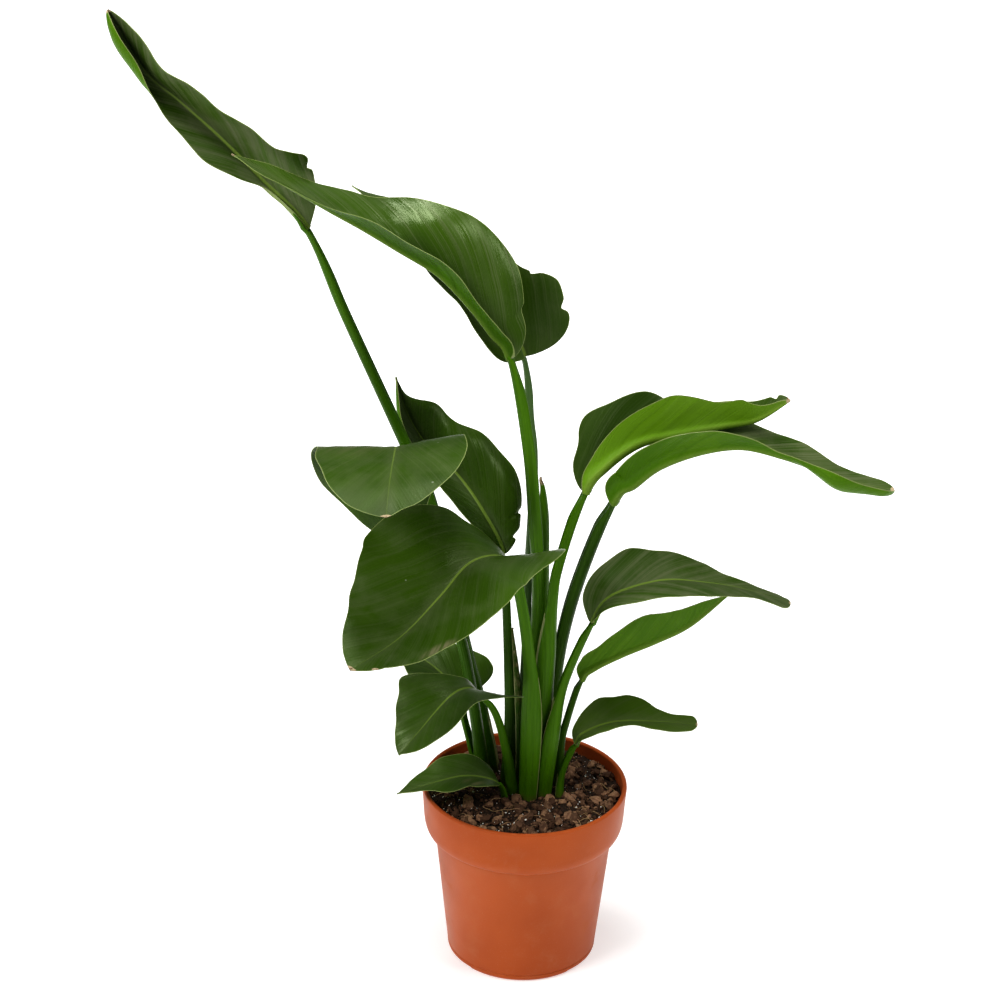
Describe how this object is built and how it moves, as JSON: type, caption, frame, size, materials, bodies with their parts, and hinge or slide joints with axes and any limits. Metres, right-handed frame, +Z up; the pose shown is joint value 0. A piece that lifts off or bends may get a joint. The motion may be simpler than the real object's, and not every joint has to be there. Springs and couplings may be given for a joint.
{
  "type": "potted bird of paradise plant",
  "caption": "Tall broad-leaved house plant: long grooved stalks with paddle leaves rising from bark mix in a round tapered pot with a stepped collar.",
  "frame": {"origin": "middle of the pot's flat base, on the surface that the pot stands on", "axes": "+Z up along the pot's axis, -Y the front that faces the viewer, +X to the viewer's right"},
  "size_m": [0.6044, 0.2399, 0.7926],
  "materials": {
    "pot_plastic": "satin",
    "potting_mix": "matte",
    "stalk": "satin",
    "leaf": "satin",
    "young_leaf": "satin",
    "dry_sheath": "matte"
  },
  "bodies": {
    "root": {"pot": "pot_plastic", "potting_mix": "potting_mix", "tall_left_stalk": "stalk", "tall_left_blade": "leaf", "big_middle_stalk": "stalk", "big_middle_blade": "leaf", "dark_behind_stalk": "stalk", "dark_behind_blade": "leaf", "dark_mid_stalk": "stalk", "dark_mid_blade": "leaf", "left_droop_stalk": "stalk", "left_droop_blade": "leaf", "big_front_stalk": "stalk", "big_front_blade": "leaf", "low_left_stalk": "stalk", "low_left_blade": "leaf", "small_left_stalk": "stalk", "small_left_blade": "leaf", "right_upper_stalk": "stalk", "right_upper_blade": "young_leaf", "right_long_stalk": "stalk", "right_long_blade": "leaf", "right_mid_stalk": "stalk", "right_mid_blade": "leaf", "right_light_stalk": "stalk", "right_light_blade": "young_leaf", "right_low_stalk": "stalk", "right_low_blade": "leaf", "hidden_left_stalk": "stalk", "hidden_left_blade": "leaf", "old_sheath": "dry_sheath", "rolled_leaf": "stalk"}
  },
  "joints": []
}
